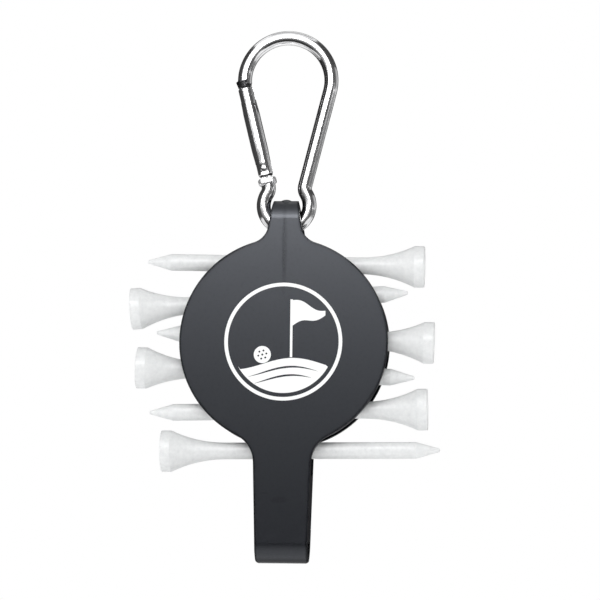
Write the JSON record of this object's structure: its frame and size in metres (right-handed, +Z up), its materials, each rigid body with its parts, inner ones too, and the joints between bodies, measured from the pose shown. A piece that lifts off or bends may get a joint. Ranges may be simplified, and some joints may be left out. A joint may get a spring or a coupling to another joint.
{
  "type": "divot repair tool",
  "caption": "Flat tee holder with tees clipped across it, a folding pronged divot fork on its back and a snap carabiner through its neck.",
  "frame": {"origin": "centre of the round front face", "axes": "+Z up along the stem, neck and carabiner, +X right across the tees, +Y from the front face to the back"},
  "size_m": [0.0784, 0.0139, 0.1348],
  "materials": {
    "plate": "fine matte mould texture",
    "grip": "matte",
    "screw_steel": "dark satin",
    "fork_steel": "brushed",
    "rivet_steel": "satin",
    "washer_steel": "satin",
    "tee_paint": "white gloss paint over wood",
    "chrome": "polished",
    "gate_chrome": "polished",
    "inner_steel": "plain"
  },
  "bodies": {
    "carabiner": {"carabiner_frame": "chrome"},
    "gate": {"carabiner_gate": "gate_chrome", "gate_pin": "rivet_steel", "latch_pin": "rivet_steel", "gate_plunger": "inner_steel", "gate_spring": "inner_steel"},
    "holder": {"front_plate": "plate", "back_plate": "plate", "tee_grip": "grip", "case_screws": "screw_steel", "fork_pivot": "rivet_steel", "fork_washer": "washer_steel", "fork_spring_washer": "washer_steel"},
    "fork": {"divot_fork": "fork_steel"},
    "tee_1": {"tee_1": "tee_paint"},
    "tee_2": {"tee_2": "tee_paint"},
    "tee_3": {"tee_3": "tee_paint"},
    "tee_4": {"tee_4": "tee_paint"},
    "tee_5": {"tee_5": "tee_paint"},
    "tee_6": {"tee_6": "tee_paint"}
  },
  "joints": [
    {"name": "holder_swing", "type": "hinge", "parent": "carabiner", "child": "holder", "pos_m": [0, 0.005, 0.03035], "axis": [1, 0, 0], "range_deg": [-40, 40]},
    {"name": "gate_hinge", "type": "hinge", "parent": "carabiner", "child": "gate", "pos_m": [-0.00573, 0.005, 0.04431], "axis": [0, 1, 0], "range_deg": [0, 28], "stiffness_Nm_per_rad": 0.02, "springref_deg": -28.65},
    {"name": "fork_swing", "type": "hinge", "parent": "holder", "child": "fork", "pos_m": [0, 0.0113, -0.0396], "axis": [0, 1, 0], "range_deg": [0, 180]},
    {"name": "tee_1_slide", "type": "slide", "parent": "holder", "child": "tee_1", "axis": [0.9999, 0, -0.0152], "range_m": [0, 0.042]},
    {"name": "tee_2_slide", "type": "slide", "parent": "holder", "child": "tee_2", "axis": [-0.9981, 0, -0.0621], "range_m": [0, 0.038]},
    {"name": "tee_3_slide", "type": "slide", "parent": "holder", "child": "tee_3", "axis": [0.9995, 0, -0.0323], "range_m": [0, 0.03945]},
    {"name": "tee_4_slide", "type": "slide", "parent": "holder", "child": "tee_4", "axis": [-0.9995, 0, 0.0316], "range_m": [0, 0.0397]},
    {"name": "tee_5_slide", "type": "slide", "parent": "holder", "child": "tee_5", "axis": [0.9998, 0, 0.018], "range_m": [0, 0.04095]},
    {"name": "tee_6_slide", "type": "slide", "parent": "holder", "child": "tee_6", "axis": [-0.9999, 0, -0.0105], "range_m": [0, 0.04625]}
  ]
}
